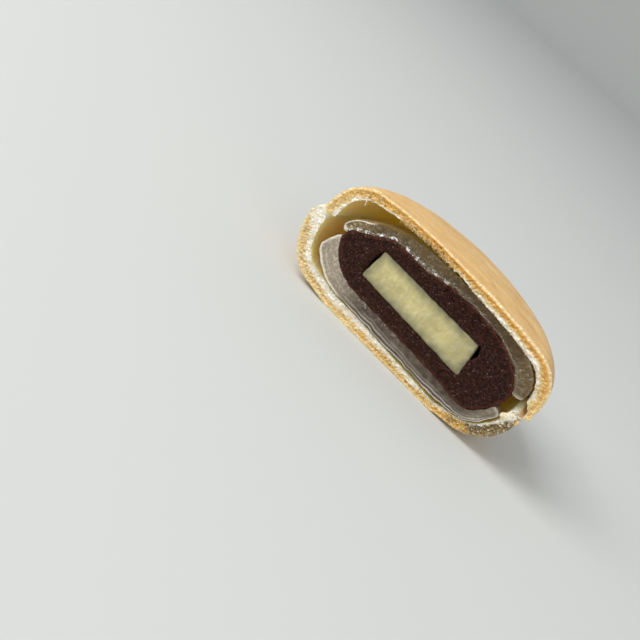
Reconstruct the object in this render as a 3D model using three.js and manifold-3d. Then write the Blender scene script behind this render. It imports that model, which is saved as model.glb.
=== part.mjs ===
// Half monaka: a round Japanese wafer sweet, cut straight through the middle.
// Two crisp rice-wafer shells lie rim to rim, the top one a little askew. Between them a disc of
// red bean paste is wrapped in two soft mochi sheets, with a square pat of butter in its middle.
// The half lies on the flat base of its bottom shell, and its cut face looks along -Y.
// Millimetres, +Z up. The origin is under the middle of the bounding box, on the resting surface.
//
// Every round piece is described in the sweet's own frame: x runs along the cut from the bottom
// shell's axis, z is the height above the bottom shell's rim, and the cut is the plane y = 0.

import * as THREE from 'three';
import { mergeVertices } from 'three/addons/utils/BufferGeometryUtils.js';
import Module from 'manifold-3d';

const wasm = await Module();
wasm.setup();

// Driving dimensions of the shells
const BOTTOM_RADIUS = 35;
const BOTTOM_DEPTH = 15;
const BASE_FLAT_RADIUS = 17;
const TOP_RADIUS = 34.4;
const TOP_HEIGHT = 14.5;
const CROWN_FLAT_RADIUS = 9;
const TOP_SHIFT = 1.7;
const TOP_LIFT = 1.7;
const TOP_TILT = THREE.MathUtils.degToRad(1.2);

// Wall of the wafer at the middle, at the shoulder and at the rim, on each side of the cut
const BOTTOM_WALL_RIGHT = [3.1, 2.6, 3.2];
const BOTTOM_WALL_LEFT = [3.1, 3.7, 4];
const TOP_WALL_RIGHT = [2.3, 2.9, 3.3];
const TOP_WALL_LEFT = [2.3, 2.5, 3.3];

// Height at which each rim ends, in the shell's own frame: the seam is nearly shut on the left
// and gapes on the right
const BOTTOM_RIM_RIGHT = -0.1;
const BOTTOM_RIM_LEFT = 1.9;
const TOP_RIM_RIGHT = 0.9;
const TOP_RIM_LEFT = 0.3;

// Outside of each shell between its flat and its rim, as fractions of the way out from the flat's
// edge and of the way from the rim to the crown
const BOTTOM_SHOULDER = [
  [0, 1], [0.2, 0.965], [0.38, 0.935], [0.52, 0.9], [0.65, 0.835],
  [0.77, 0.725], [0.89, 0.545], [0.97, 0.3], [1, 0],
];
const TOP_SHOULDER = [
  [0, 1], [0.34, 0.965], [0.52, 0.93], [0.64, 0.9], [0.73, 0.86],
  [0.81, 0.785], [0.88, 0.68], [0.95, 0.5], [0.99, 0.25], [1, 0],
];

// Fillings, all round about one axis a little right of the shells' own
const FILLING_AXIS = 2;
const PASTE_RIGHT = [
  [0, -7.4], [8, -7.6], [14, -8], [19.3, -8.5], [22.6, -7.5], [25.2, -4.4], [26.9, -0.5],
  [27.1, 2], [26, 4.3], [23.6, 6.9], [18.5, 9.3], [12, 10.7], [5, 11], [0, 10.8],
];
const PASTE_LEFT = [
  [0, -7.4], [8, -7.1], [14, -7], [18.8, -6.5], [22.4, -4.9], [24.9, -2.5], [26.4, 0],
  [26.5, 2], [25.2, 4.3], [21.2, 6.4], [16.8, 9.1], [13, 9.4], [6, 9.6], [0, 10.8],
];
const MOCHI_LOWER_RIGHT = [
  [0, -11.5], [6.5, -11.6], [13, -11.9], [20.3, -11.4], [25, -9.5], [27.8, -5.8], [28.6, -3.5],
  [27.9, -2.4], [26.8, -2.7], [25.7, -4.8], [23, -8], [19.4, -8.9], [13.9, -8.4], [6.5, -8], [0, -7.8],
];
const MOCHI_LOWER_LEFT = [
  [0, -11.5], [8, -11.2], [14.5, -10.9], [19.5, -10.6], [24.2, -9.4], [27.5, -6.9], [29.4, -4.2],
  [28.8, -1], [27.5, 0.8], [26.5, -0.9], [24.6, -3.5], [20.9, -6.2], [14.5, -7.4], [7, -7.5], [0, -7.8],
];
const MOCHI_UPPER_RIGHT = [
  [0, 11.3], [5, 11.5], [12.2, 11.2], [18.8, 9.8], [24, 7.3], [26.6, 4.4], [27.5, 2.8],
  [28.4, 2.3], [29.2, 3.4], [28.9, 6.2], [27.2, 8.8], [23.6, 10.8], [17.5, 12.1], [9, 13], [0, 13.3],
];
const MOCHI_UPPER_LEFT = [
  [0, 11.3], [6, 10.1], [13.1, 9.9], [17.2, 9.5], [21.5, 6.9], [25.6, 4.5], [27.1, 2.6],
  [28, 2.4], [28.2, 3.7], [27.2, 5.7], [24.9, 7.4], [20.3, 10], [14.5, 12.1], [8, 13], [0, 13.3],
];

// Butter: a square pat, so the cut leaves half of its length in this half
const BUTTER_WIDTH = 32;
const BUTTER_DEPTH = BUTTER_WIDTH / 2;
const BUTTER_THICKNESS = 9;
const BUTTER_CENTRE = [0.9, 1.2];
const BUTTER_TILT = THREE.MathUtils.degToRad(1.8);
const BUTTER_BEVEL = 0.5;

// Clearance kept between neighbours, and the wider slots that open at the butter's two ends
const GAP = 0.3;
const SLOT_LEFT = 0.8;
const SLOT_RIGHT = 0.6;

// Facets
const SHELL_SEGMENTS = 64;
const FILLING_SEGMENTS = 48;
const SHELL_STEPS = 16;
const FILLING_STEPS = 30;
const CUTTER_SIZE = 200;

const vectors = (points) => points.map(([x, y]) => new THREE.Vector2(x, y));

// Outline of a filling, smooth through its points, from the axis back to the axis
function fillingOutline(points) {
  return new THREE.SplineCurve(vectors(points)).getPoints(FILLING_STEPS);
}

// Outline of a shell: along the outside from the crown to the rim, and back along the inside
function shellOutline({ radius, flat, shoulder: points, crown, rim, wall }) {
  const outer = new THREE.SplineCurve(points.map(([out, up]) => new THREE.Vector2(
    THREE.MathUtils.lerp(flat, radius, out),
    THREE.MathUtils.lerp(rim, crown, up),
  ))).getPoints(SHELL_STEPS);
  const [middle, shoulder, edge] = wall;
  const inward = Math.sign(crown);
  const inner = outer.map((point, i) => {
    const before = outer[Math.max(i - 1, 0)];
    const after = outer[Math.min(i + 1, SHELL_STEPS)];
    const along = new THREE.Vector2().subVectors(after, before).normalize();
    const share = i / SHELL_STEPS;
    const thickness = THREE.MathUtils.lerp(shoulder, edge, share);
    return new THREE.Vector2(point.x + inward * along.y * thickness, point.y - inward * along.x * thickness);
  });
  inner[0].set(flat, crown - inward * shoulder);
  inner[SHELL_STEPS].set(radius - edge, rim);
  const out = [new THREE.Vector2(0, crown), ...outer];
  const back = [new THREE.Vector2(0, crown - inward * middle), ...inner].reverse();
  return [...out, ...back];
}

// Solid turned about +Z whose outline passes from one on its right to one on its left
function turned(right, left, segments) {
  const geometry = new THREE.LatheGeometry(right, segments);
  const position = geometry.attributes.position;
  for (let i = 0; i <= segments; i++) {
    const turn = (i % segments) * 2 * Math.PI / segments;
    const leftness = (1 - Math.sin(turn)) / 2;
    right.forEach((point, j) => {
      const r = THREE.MathUtils.lerp(point.x, left[j].x, leftness);
      const z = THREE.MathUtils.lerp(point.y, left[j].y, leftness);
      position.setXYZ(i * right.length + j, r * Math.sin(turn), -r * Math.cos(turn), z);
    });
  }
  return geometry;
}

function toSolid(geometry) {
  const bare = geometry.index ? geometry.toNonIndexed() : geometry.clone();
  bare.deleteAttribute('normal');
  bare.deleteAttribute('uv');
  const merged = mergeVertices(bare, 1e-4);
  const solid = new wasm.Manifold(new wasm.Mesh({
    numProp: 3,
    vertProperties: new Float32Array(merged.attributes.position.array),
    triVerts: new Uint32Array(merged.index.array),
  }));
  if (solid.volume() > 0) return solid;
  const flipped = merged.index.array.slice().reverse();
  return new wasm.Manifold(new wasm.Mesh({
    numProp: 3,
    vertProperties: new Float32Array(merged.attributes.position.array),
    triVerts: new Uint32Array(flipped),
  }));
}

function toGeometry(solid) {
  const mesh = solid.getMesh();
  const geometry = new THREE.BufferGeometry();
  geometry.setAttribute('position', new THREE.Float32BufferAttribute(mesh.vertProperties, 3));
  geometry.setIndex(new THREE.Uint32BufferAttribute(mesh.triVerts, 1));
  geometry.computeVertexNormals();
  return geometry;
}

// The half behind the cut
const behindCut = toSolid(new THREE.BoxGeometry(CUTTER_SIZE, CUTTER_SIZE, CUTTER_SIZE)
  .translate(0, CUTTER_SIZE / 2, 0));
const halved = (geometry) => toSolid(geometry).intersect(behindCut);

// Block of the butter's section, from the cut into the half, grown by the given clearances
function butterBlock({ left, right, above, below, behind, infront, bevel }) {
  const shape = new THREE.Shape(vectors([
    [-BUTTER_WIDTH / 2 - left, -BUTTER_THICKNESS / 2 - below],
    [BUTTER_WIDTH / 2 + right, -BUTTER_THICKNESS / 2 - below],
    [BUTTER_WIDTH / 2 + right, BUTTER_THICKNESS / 2 + above],
    [-BUTTER_WIDTH / 2 - left, BUTTER_THICKNESS / 2 + above],
  ].map(([x, z]) => [x - Math.sign(x) * bevel, z - Math.sign(z) * bevel])));
  return new THREE.ExtrudeGeometry(shape, {
    depth: BUTTER_DEPTH + behind + infront - bevel,
    bevelEnabled: bevel > 0,
    bevelSize: bevel,
    bevelThickness: bevel,
    bevelSegments: 3,
  })
    .translate(0, 0, -BUTTER_DEPTH - behind + bevel)
    .rotateX(Math.PI / 2)
    .rotateY(BUTTER_TILT)
    .translate(BUTTER_CENTRE[0], 0, BUTTER_CENTRE[1]);
}

function material(color, roughness) {
  return new THREE.MeshStandardMaterial({ color, roughness, metalness: 0 });
}

function piece(name, solid, finish) {
  const mesh = new THREE.Mesh(toGeometry(solid), finish);
  mesh.name = name;
  return mesh;
}

const wafer = material('#dcb26a', 0.6);
const mochi = material('#9a938b', 0.25);
const beanPaste = material('#3f2523', 0.6);
const butter = material('#dcd6a0', 0.4);

function bottomShell() {
  const sides = [[BOTTOM_RIM_RIGHT, BOTTOM_WALL_RIGHT], [BOTTOM_RIM_LEFT, BOTTOM_WALL_LEFT]];
  const [right, left] = sides.map(([rim, wall]) => shellOutline({
    radius: BOTTOM_RADIUS,
    flat: BASE_FLAT_RADIUS,
    shoulder: BOTTOM_SHOULDER,
    crown: -BOTTOM_DEPTH,
    rim,
    wall,
  }));
  return piece('wafer_bottom', halved(turned(right, left, SHELL_SEGMENTS)), wafer);
}

function topShell() {
  const sides = [[TOP_RIM_RIGHT, TOP_WALL_RIGHT], [TOP_RIM_LEFT, TOP_WALL_LEFT]];
  const [right, left] = sides.map(([rim, wall]) => shellOutline({
    radius: TOP_RADIUS,
    flat: CROWN_FLAT_RADIUS,
    shoulder: TOP_SHOULDER,
    crown: TOP_HEIGHT,
    rim,
    wall,
  }));
  const mesh = piece('wafer_top', halved(turned(right, left, SHELL_SEGMENTS)), wafer);
  mesh.position.set(TOP_SHIFT, 0, TOP_LIFT);
  mesh.rotation.y = TOP_TILT;
  return mesh;
}

function sheetOfMochi(name, right, left) {
  const outlines = [right, left].map(fillingOutline);
  const mesh = piece(name, halved(turned(...outlines, FILLING_SEGMENTS)), mochi);
  mesh.position.x = FILLING_AXIS;
  return mesh;
}

// The paste holds the butter in a pocket that is open at the cut
function pasteDisc() {
  const outlines = [PASTE_RIGHT, PASTE_LEFT].map(fillingOutline);
  const pocket = toSolid(butterBlock({
    left: SLOT_LEFT, right: SLOT_RIGHT, above: GAP, below: GAP, behind: GAP, infront: 1, bevel: 0,
  }));
  const disc = toSolid(turned(...outlines, FILLING_SEGMENTS).translate(FILLING_AXIS, 0, 0));
  return piece('bean_paste', disc.intersect(behindCut).subtract(pocket), beanPaste);
}

function butterPat() {
  const block = butterBlock({
    left: 0, right: 0, above: 0, below: 0, behind: 0, infront: 2, bevel: BUTTER_BEVEL,
  });
  return piece('butter', halved(block), butter);
}

const sweet = new THREE.Group();
sweet.add(
  bottomShell(),
  topShell(),
  sheetOfMochi('mochi_lower', MOCHI_LOWER_RIGHT, MOCHI_LOWER_LEFT),
  sheetOfMochi('mochi_upper', MOCHI_UPPER_RIGHT, MOCHI_UPPER_LEFT),
  pasteDisc(),
  butterPat(),
);

// Stand the half on the resting surface, with the middle of its box over the origin
const box = new THREE.Box3().setFromObject(sweet, true);
const middle = box.getCenter(new THREE.Vector3());
sweet.position.set(-middle.x, -middle.y, -box.min.z);

const halfMonaka = new THREE.Group();
halfMonaka.add(sweet);
export default halfMonaka;
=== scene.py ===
"""The cut half of a monaka: two crisp rice-wafer shells round mochi, red bean paste and butter.

Every piece is modelled in millimetres in the sweet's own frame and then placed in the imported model's.
In the sweet's frame x runs along the cut from the axis of the bottom shell, y runs from the cut into
the half, and z is the height above the rim of the bottom shell. "Right" and "left" are the two ends
of the cut face as it is looked at.
"""

import math
import random

import bmesh
import bpy
from bpy.props import FloatProperty, FloatVectorProperty, PointerProperty
from mathutils import Matrix, Quaternion, Vector, noise
from mathutils.geometry import interpolate_bezier


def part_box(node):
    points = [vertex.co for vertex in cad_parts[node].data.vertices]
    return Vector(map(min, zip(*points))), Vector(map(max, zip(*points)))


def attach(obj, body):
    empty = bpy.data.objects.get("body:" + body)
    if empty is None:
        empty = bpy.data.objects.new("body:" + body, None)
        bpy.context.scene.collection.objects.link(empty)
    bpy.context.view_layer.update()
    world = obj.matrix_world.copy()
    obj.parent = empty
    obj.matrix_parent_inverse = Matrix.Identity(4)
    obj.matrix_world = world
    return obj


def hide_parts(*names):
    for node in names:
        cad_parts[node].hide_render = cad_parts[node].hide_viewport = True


bl_info = {
    "name": "Half Monaka",
    "version": (1, 0, 0),
    "blender": (4, 5, 0),
    "location": "View3D > Sidebar > Monaka",
    "description": "Builds the cut half of a filled wafer sweet round its packed model",
    "category": "Add Mesh",
}

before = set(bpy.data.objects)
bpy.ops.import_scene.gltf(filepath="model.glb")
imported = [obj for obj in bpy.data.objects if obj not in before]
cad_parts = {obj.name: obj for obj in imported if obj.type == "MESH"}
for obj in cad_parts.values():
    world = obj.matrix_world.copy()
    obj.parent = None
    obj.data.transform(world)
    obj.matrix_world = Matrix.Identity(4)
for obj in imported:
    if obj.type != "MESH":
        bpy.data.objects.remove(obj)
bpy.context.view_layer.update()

MM = 0.001

# From the rim of the bottom shell down to its base
BASE_DEPTH = 15

# Outside of each shell between its flat and its rim: fractions of the way out from the flat's edge,
# and of the way from the rim to the crown
BOTTOM_SHOULDER = (
    (0, 1), (0.2, 0.965), (0.38, 0.935), (0.52, 0.9), (0.65, 0.835), (0.77, 0.725), (0.89, 0.545),
    (0.97, 0.3), (1, 0),
)
TOP_SHOULDER = (
    (0, 1), (0.34, 0.965), (0.52, 0.93), (0.64, 0.9), (0.73, 0.86), (0.81, 0.785), (0.88, 0.68),
    (0.95, 0.5), (0.99, 0.25), (1, 0),
)

# Each end of a shell's cut. rim: height at which it stops. wall, pale, amber and the last table: the
# wall's thickness, the white share of it, the strength of the toasted line under its skin, and how brown
# its foam is, where values above about 1 paint shade on it; each at even steps from the crown to the rim.
# blunt: reach of its rounding. slant: how much further the outer side runs. rise: how much higher the
# rim stands behind the broken edge of the cut.
# The high browning values at this end paint shade on its foam towards the rim
BOTTOM_RIGHT = dict(
    rim=-0.1, wall=(3.1, 2.6, 2.1, 2.7, 3.3, 3.1), pale=(0.42, 0.4, 0.2, 0.04, 0.06, 0.5),
    amber=(0.25, 0.2, 0.2, 0.2, 0.1, 0.0), toast_and_shade=(0.7, 0.5, 0.7, 1.6, 2.1, 1.3),
    blunt=0.9, slant=-0.3, rise=2.1
)
BOTTOM_LEFT = dict(
    rim=2.0, wall=(3.1, 3.6, 3.7, 3.6, 3.9, 4.3), pale=(0.42, 0.4, 0.54, 0.42, 0.28, 1.0),
    amber=(0.25, 0.2, 0.2, 0.2, 0.15, 0.0), toast_and_shade=(0.7, 0.6, 0.4, 0.2, 0.3, 0.2),
    blunt=1.8, slant=0.3, rise=0.3
)
TOP_RIGHT = dict(
    rim=0.9, wall=(2.2, 2.9, 2.9, 3.1, 3.6, 3.4), pale=(0.06, 0.24, 0.34, 0.3, 0.2, 0.12),
    amber=(0.85, 0.9, 0.9, 0.9, 0.7, 0.3), toast_and_shade=(0.9, 0.5, 0.4, 0.5, 0.5, 0.4),
    blunt=0.3, slant=1.5, rise=0.0
)
TOP_LEFT = dict(
    rim=0.27, wall=(2.2, 1.9, 2.1, 2.7, 3.1, 3.4), pale=(0.06, 0.0, 0.1, 0.13, 0.13, 0.2),
    amber=(0.9, 0.9, 0.8, 0.6, 0.4, 0.2), toast_and_shade=(0.9, 1.0, 0.9, 0.9, 0.7, 0.4),
    blunt=0.5, slant=0.2, rise=0.0
)

# Splinters on the torn edges of a cut: its side, reach along it, reach across it, how many of them,
# how long they are and how pale
BOTTOM_SPLINTERS = (
    (-1, (0.0, 0.85), (0.9, 1.0), 90, 0.5, 1.0), (1, (0.0, 0.6), (0.9, 1.0), 50, 0.5, 0.8),
    (1, (0.93, 1.0), (0.2, 1.0), 50, 1.1, 0.9),
)
TOP_SPLINTERS = (
    (-1, (0.05, 0.45), (0.85, 1.0), 150, 1.1, 0.25), (-1, (0.45, 0.95), (0.93, 1.0), 60, 0.5, 0.9),
    (-1, (0.68, 0.7), (0.95, 1.0), 3, 2.4, 1.0), (1, (0.0, 0.9), (0.9, 1.0), 130, 0.5, 0.8),
)
# Broken flakes of white crumb that stand out of the bottom shell's cut: middle, half length and half
# width in the cut, and how many degrees they lean
FLAKES = (((10.6, -13.4), 2.0, 0.4, 2), ((32.3, -2.0), 2.1, 1.0, 40))

# Middle of the butter's slice in the cut, and how far each of its corners departs from a rectangle's:
# the left end's lower and upper corner, and the right end's
BUTTER_CENTRE = Vector((0.94, 0, 1.2))
BUTTER_CORNERS = (((-0.1, 0.1), (0.2, -0.45)), ((0.9, -0.15), (-1.0, 0.1)))
# How far each slot at the butter's ends is open, at even steps upward, as shares of its widest
LEFT_SLOT = (0, 0.6, 1, 0.8, 0.3)
RIGHT_SLOT = (0, 0, 0.1, 1, 0.6)

# Fillings, turned about an axis a little right of the shells' own
FILLING_AXIS = 2.0
PASTE_RIGHT = (
    (0, -7.4), (8, -7.6), (14, -8), (19.3, -8.5), (22.6, -7.5), (25.2, -4.4), (26.9, -0.5), (27.1, 2),
    (26, 4.3), (23.6, 6.9), (18.5, 9.3), (12, 10.7), (5, 11), (0, 10.8),
)
PASTE_LEFT = (
    (0, -7.4), (8, -7.1), (14, -7), (18.8, -6.5), (22.4, -4.9), (24.9, -2.5), (26.4, 0), (26.5, 2),
    (25.2, 4.3), (21.2, 6.4), (16.8, 9.1), (13, 9.4), (6, 9.6), (0, 10.8),
)
# Each mochi sheet's end: its side towards the shell, then its side towards the paste
LOWER_RIGHT = (
    ((0, -11.5), (6.5, -11.6), (13, -11.9), (20.3, -11.4), (25, -9.5), (27.8, -5.8), (28.7, -3.2)),
    ((0, -7.7), (6.5, -7.9), (13.9, -8.3), (19.4, -8.8), (23, -7.9), (25.7, -4.6), (26.9, -2.3)),
)
LOWER_LEFT = (
    (
        (0, -11.5), (8, -11.2), (14.5, -10.9), (19.5, -10.6), (24, -9.3), (27, -7.2), (29.2, -5.1),
        (29.9, -3.6),
    ),
    ((0, -7.7), (7, -7.4), (14.5, -7.3), (20.9, -6.1), (24.6, -3.4), (26.5, -0.6), (27.5, 1.1)),
)
UPPER_RIGHT = (
    ((0, 13.5), (9, 13.2), (17.5, 12.4), (23.6, 11.3), (27.5, 9.2), (29.5, 6.4), (29.6, 2.8)),
    ((0, 11.1), (5, 11.3), (12.2, 11), (18.8, 9.6), (24, 7.2), (26.5, 4.4), (27.3, 2.5)),
)
UPPER_LEFT = (
    ((0, 13.5), (8, 13.3), (14.5, 12.3), (20.3, 10.2), (24.9, 7.5), (27.2, 5.7), (28.3, 3.3)),
    ((0, 11.1), (6, 9.9), (13.1, 9.7), (17.2, 9.3), (21.5, 6.7), (25.4, 4.5), (27, 2.4)),
)
# Seams between a sheet's folded layers: share of its thickness at the right, at the left, strength.
# Their pale lines are partly the seams' own colour and partly painted highlights on the folds' edges
LOWER_SEAMS = ((0.05, 0.06, 1.3), (0.24, 0.33, 0.4), (0.42, 0.52, 0.22))
UPPER_SEAMS = ((0.85, 0.8, 0.2),)

# Steps along a wall from its axis to its lip, how much finer its cut is, how far behind the cut its
# first ring stands, and how near each other two vertices count as touching
SHELL_STEPS = 150
MOCHI_STEPS = 110
FINER = 3
FIRST_RING = 0.6
TOUCH = 1e-4

# Point in the sweet's frame that the camera looks at
AIM = Vector((-15.445, 0, -18.66))
# In metres: radius of the sweep between the floor and its wall, height of the wall, and how far the
# floor lies under the half, so that the two don't share a plane
SWEEP = 0.4
WALL_HEIGHT = 0.9
FLOOR_GAP = 0.05 * MM
# Directions of the lights as seen from the half
KEY_DIRECTION = (-0.67, -0.31, 0.65)
FILL_DIRECTION = (0.5, -0.8, 0.45)
SPARK_DIRECTIONS = ((-0.72, -0.45, 0.55), (-0.45, -0.8, 0.5), (-0.85, -0.3, 0.25), (-0.3, -0.5, 0.8))


def hex_colour(code):
    """Linear red, green, blue and full alpha of an sRGB hex value."""
    parts = [int(code[i:i + 2], 16) / 255 for i in (1, 3, 5)]
    return (*(c / 12.92 if c <= 0.04045 else ((c + 0.055) / 1.055) ** 2.4 for c in parts), 1.0)


def length(name, description, millimetres):
    """A size the user can change."""
    return FloatProperty(name=name, description=description, default=millimetres * MM, unit="LENGTH")


def angle(name, description, degrees):
    """An angle the user can change."""
    return FloatProperty(name=name, description=description, default=math.radians(degrees), unit="ROTATION")


def power(name, description, watts):
    """A light's power, which the user can change."""
    return FloatProperty(name=name, description=description, default=watts, unit="POWER")


def colour(name, description, code):
    """A colour the user can change."""
    return FloatVectorProperty(
        name=name, description=description, default=hex_colour(code), subtype="COLOR", size=4, min=0, max=1
    )


class WaferSettings(bpy.types.PropertyGroup):
    """Sizes and colours of the two shells."""

    radius: length("Bottom radius", "Outer radius of the bottom shell", 35)
    depth: length("Bottom depth", "From the rim of the bottom shell down to its base", BASE_DEPTH)
    base_flat: length("Flat of the base", "Radius of the flat that the half rests on", 17)
    top_radius: length("Top radius", "Outer radius of the top shell", 34.4)
    top_height: length("Top height", "From the rim of the top shell up to its crown", 14.5)
    crown_flat: length("Flat of the crown", "Radius of the nearly flat crown", 9)
    top_shift: length("Top shift", "How far the top shell sits askew along the cut", 1.7)
    top_lift: length("Top lift", "Height of the top shell's rim above the bottom shell's", 1.7)
    top_tilt: angle("Top tilt", "Turn of the top shell, down on the right", 1.2)
    skin: colour("Skin", "Toasted outside of the wafer", "#ebc17b")
    # Also painted along the outer edge of the cut as a highlight
    skin_pale: colour("Pale skin", "Patches that took less heat", "#f1d2a0")
    skin_dark: colour("Dark skin", "Patches that took more heat", "#daa75c")
    amber: colour("Amber", "Toasted line just under the skin, seen in the cut", "#dfa038")
    crumb: colour("Crumb", "Puffed inside of the wall where it is cut", "#efdaa2")
    crumb_toasted: colour("Toasted crumb", "Foam that took more heat", "#e2b24c")
    # Random darker crumb, and painted shade at the bottoms of the pores
    crumb_deep: colour("Deep crumb", "Bottoms of the pores in the cut", "#bd9445")
    # Painted shade: darkens the foam where shade falls on it, at the bottom shell's right end
    crumb_painted_shade: colour("Dim crumb", "Foam that took the most heat", "#5c4a20")
    # Painted highlight: glints painted near white on the foam
    crumb_painted_glint: colour("Crumb glint", "Thin bright walls between the pores", "#fff6dc")
    crumb_pale: colour("Pale crumb", "Dense white side of the wall, next to the filling", "#fff8ea")
    inside: colour("Inside", "Smooth inner face of the shell", "#fbe0a0")


class FillingSettings(bpy.types.PropertyGroup):
    """Sizes and colours of what the shells hold."""

    butter_width: length("Butter width", "Side of the square pat, as long as its slice in the cut", 32)
    butter_thickness: length("Butter thickness", "Thickness of the pat", 9)
    butter_tilt: angle("Butter tilt", "Turn of the pat in the cut, down on the right", 1.8)
    slot_left: length("Left slot", "Open wedge in the paste at the butter's left end", 0.8)
    slot_right: length("Right slot", "Open notch in the paste at the butter's right end", 1.5)
    mochi: colour("Mochi", "Body of the lower mochi", "#4b3c31")
    # Cloudy mochi, and towards the lower sheet's left tip partly painted light shining through it
    mochi_cloudy_and_glow: colour("Cloudy mochi", "Lower mochi where it is thick or floured", "#a79984")
    mochi_clear: colour("Clear mochi", "Upper mochi, through which the paste shows", "#4a3516")
    mochi_honey: colour("Honey mochi", "Upper mochi where it is thick or floured", "#857047")
    # Painted light: lightens the outside of a sheet, which lies in shade under the shell
    mochi_back_painted_light: colour("Back of the mochi", "Outside of a sheet, glossy and brown", "#b8a27a")
    # Pale seams and grains; on the seams partly painted highlights on the folds' edges
    mochi_line: colour("Mochi seams", "Pale seams between its folded layers", "#e8e0d2")
    # Painted highlight: white glints painted along the wet edge next to the paste
    mochi_painted_glint: colour("Mochi glints", "Drawn wet threads along the paste", "#fffaf2")
    paste: colour("Bean paste", "Mashed red beans", "#25120b")
    paste_skin: colour("Bean skins", "Redder bits of bean skin", "#48281f")
    # Painted highlight: pale specks that stand for the paste's tiny glints
    paste_painted_glint: colour("Paste flecks", "Pale specks of bean flour and sugar", "#80655a")
    paste_rim: colour("Paste rim", "Thin edge of the paste, where light passes through", "#6e3d2b")
    butter: colour("Butter", "Middle of the butter", "#cfc286")
    butter_smear: colour("Butter smears", "Paler smears that the knife left", "#ded8b4")
    butter_edge: colour("Butter edge", "Greyer rim of the butter", "#706c56")


class StageSettings(bpy.types.PropertyGroup):
    """Floor, lights and camera."""

    floor: colour("Floor", "Pale floor and its backdrop", "#d0d1cc")
    floor_radius: length("Floor radius", "Flat part of the floor", 1300)
    key_power: power("Key light", "Main soft light, up on the left", 8.5)
    spark_power: power("Sparks", "Small hard lights that make wet and glassy spots glint, together", 1.6)
    fill_power: power("Fill light", "Soft light in front", 2.0)
    room: colour("Room", "Colour of the light from all round", "#f4f8ff")
    room_strength: FloatProperty(
        name="Room light", description="Strength of the light from all round", default=0.55
    )
    lens: FloatProperty(
        name="Lens", description="Focal length on a 36 mm sensor", default=52.0, unit="CAMERA"
    )
    distance: length("Distance", "From the camera to the point it looks at in the cut", 226.17)
    azimuth: angle("Azimuth", "Camera's turn round the half, to the right", 9.385)
    elevation: angle("Elevation", "How steeply the camera looks down", 24.636)
    roll: angle("Roll", "Turn about the line of sight, as the half leans in the picture", -41.494)


# The sweet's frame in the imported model's: the bottom shell gives its axis, the cut and the base
wafer_low, wafer_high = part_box("wafer_bottom")
SWEET = Matrix.Translation((
    (wafer_low.x + wafer_high.x) / 2, wafer_low.y, wafer_low.z + BASE_DEPTH * MM
)) @ Matrix.Scale(MM, 4)


# Curves and noise ------------------------------------------------------------------------------


def smooth_line(points, count):
    """count + 1 evenly spaced points along a smooth curve through the given ones."""
    points = [Vector((x, 0, z)) for x, z in points]
    ends = [points[0], *points, points[-1]]
    fine = []
    for a, b, c, d in zip(ends, ends[1:], ends[2:], ends[3:]):
        fine += interpolate_bezier(b, b + (c - a) / 6, c - (d - b) / 6, c, 24)[:-1]
    fine.append(points[-1])
    reach = [0.0]
    for a, b in zip(fine, fine[1:]):
        reach.append(reach[-1] + (b - a).length)
    spaced, j = [], 0
    for i in range(count):
        wanted = reach[-1] * i / count
        while reach[j + 1] <= wanted:
            j += 1
        spaced.append(fine[j].lerp(fine[j + 1], (wanted - reach[j]) / (reach[j + 1] - reach[j])))
    return [*spaced, fine[-1]]


def smooth(x):
    """0 below 0, 1 above 1, and an eased step between."""
    x = min(max(x, 0.0), 1.0)
    return x * x * (3 - 2 * x)


def between(values, share):
    """Value at a share of the way along a few evenly spaced values, eased from one to the next."""
    place = min(max(share, 0.0), 1.0) * (len(values) - 1)
    i = min(int(place), len(values) - 2)
    return values[i] + (values[i + 1] - values[i]) * smooth(place - i)


def bumps(point, size, seed=0.0):
    """Rolling noise from -1 to 1 with bumps of that size in millimetres."""
    return noise.noise(point / size + Vector((seed, seed * 1.7, -seed)))


def bubbles(point, size, seed=0.0):
    """0 on the walls between bubbles of that size, rising to about 1 in their middles."""
    near, far = noise.voronoi(point / size + Vector((seed, -seed, seed * 0.7)))[0][:2]
    return min((far - near) * 1.6, 1.0)


# Round pieces ----------------------------------------------------------------------------------


class Section:
    """One end of a turned piece's cut: two lines from its axis to its lip, and how the lip is shaped."""

    def __init__(self, outer, inner, blunt=0.6, slant=0.0, rise=0.0, overlap=0.0):
        self.outer = outer
        self.inner = inner
        self.blunt = blunt
        self.slant = slant
        self.rise = rise
        self.overlap = overlap
        self.reach = sum((b - a).length for a, b in zip(outer, outer[1:]))

    def at(self, share, across):
        """Point at a share of the way out to the lip, and across from the outer line to the inner."""
        place = share * (len(self.outer) - 1)
        i = min(int(place), len(self.outer) - 2)
        outer = self.outer[i].lerp(self.outer[i + 1], place - i)
        inner = self.inner[i].lerp(self.inner[i + 1], place - i)
        to_lip = (1 - share) * self.reach
        drawn = across
        if to_lip < self.blunt:
            drawn += (0.5 - across) * (1 - math.sqrt(max(1 - (1 - to_lip / self.blunt) ** 2, 0.04)))
        drawn *= 1 + self.overlap / (inner - outer).length
        along = (self.outer[i + 1] - self.outer[i]).normalized()
        return outer.lerp(inner, drawn) + along * self.slant * (1 - 2 * across) * smooth(1 - to_lip / 4)


def shell_section(radius, flat, shoulder, crown, end):
    """Section of a shell at one end: the outside from its shoulder, and the inside offset from it."""
    count = SHELL_STEPS * FINER
    rim = end["rim"]
    points = [(0, crown), (flat / 2, crown)]
    points += [(flat + (radius - flat) * out, rim + (crown - rim) * up) for out, up in shoulder]
    outer = smooth_line(points, count)
    upward = 1 if crown > 0 else -1
    inner = []
    for i, point in enumerate(outer):
        along = (outer[min(i + 1, count)] - outer[max(i - 1, 0)]).normalized()
        inner.append(point + Vector((along.z, 0, -along.x)) * upward * between(end["wall"], i / count))
    inner[0].x = 0
    return Section(outer, inner, end["blunt"], end["slant"], end["rise"])


def is_flush(edge):
    """Whether an edge lies in the plane of the cut."""
    return all(abs(vert.co.y) < TOUCH for vert in edge.verts)


def cut_of(bm):
    """The vertices of a turned wall's cut."""
    return {vert for face in bm.faces if face.material_index == 1 for vert in face.verts}


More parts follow.
